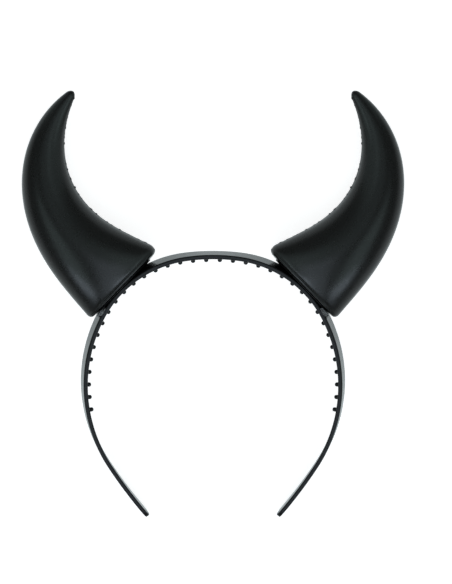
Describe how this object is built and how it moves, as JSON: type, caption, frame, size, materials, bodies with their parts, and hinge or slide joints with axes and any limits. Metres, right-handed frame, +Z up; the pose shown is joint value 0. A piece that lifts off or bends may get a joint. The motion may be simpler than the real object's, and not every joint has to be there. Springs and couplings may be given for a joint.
{
  "type": "horn headband",
  "caption": "Toothed plastic hair band arch with two hollow curved horns seated on it, worn over the crown as a costume headpiece.",
  "frame": {"origin": "centre of the bounding box's bottom face, on the surface that the headband lies on", "axes": "+Z up, out of the headband's front; +Y from the band's ends towards the horn tips; +X to the right seen from the front"},
  "size_m": [0.186, 0.2128, 0.03],
  "materials": {
    "band_plastic": "glossy moulded black plastic",
    "horn_plastic": "satin moulded black plastic",
    "base_plastic": "dull black plastic",
    "glue": "glossy set glue over black plastic"
  },
  "bodies": {
    "root": {"band": "band_plastic", "horn_left": "horn_plastic", "horn_right": "horn_plastic", "horn_left_base": "base_plastic", "horn_right_base": "base_plastic", "glue_left": "glue", "glue_right": "glue"}
  },
  "joints": []
}
